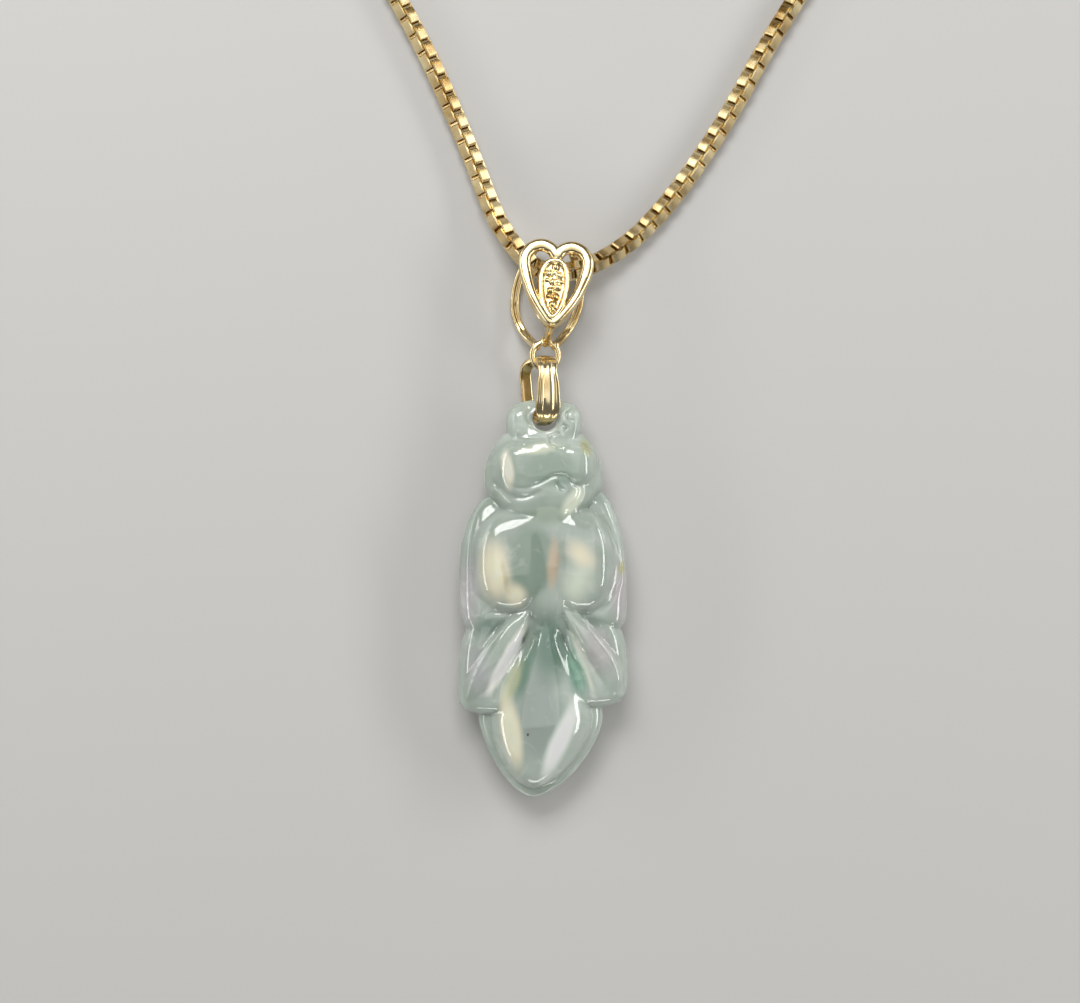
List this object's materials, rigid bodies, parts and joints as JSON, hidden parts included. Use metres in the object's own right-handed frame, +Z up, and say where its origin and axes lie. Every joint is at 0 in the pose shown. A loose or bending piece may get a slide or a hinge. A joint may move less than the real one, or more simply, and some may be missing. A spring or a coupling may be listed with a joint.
{
  "type": "jade goldfish pendant",
  "caption": "Carved pale jade goldfish pendant with a gold drop ring, a heart-shaped bail and a fine box chain, lying on its back.",
  "frame": {"origin": "on the table, under the middle of the box round the pendant and its bail, without the chain", "axes": "+Y from the tail to the bail, +Z up out of the carved face, +X to the right as seen from above"},
  "size_m": [0.0471, 0.0977, 0.0061],
  "materials": {
    "jade": "glassy polish",
    "gold": "polished yellow gold"
  },
  "bodies": {
    "root": {"jade_goldfish": "jade", "drop_ring": "gold", "heart_bail": "gold", "chain_left_strand": "gold", "chain_left_coil": "gold", "chain_left_end": "gold", "chain_right_strand": "gold", "chain_right_coil": "gold", "chain_right_end": "gold", "lobster_clasp": "gold", "end_ring": "gold"}
  },
  "joints": []
}
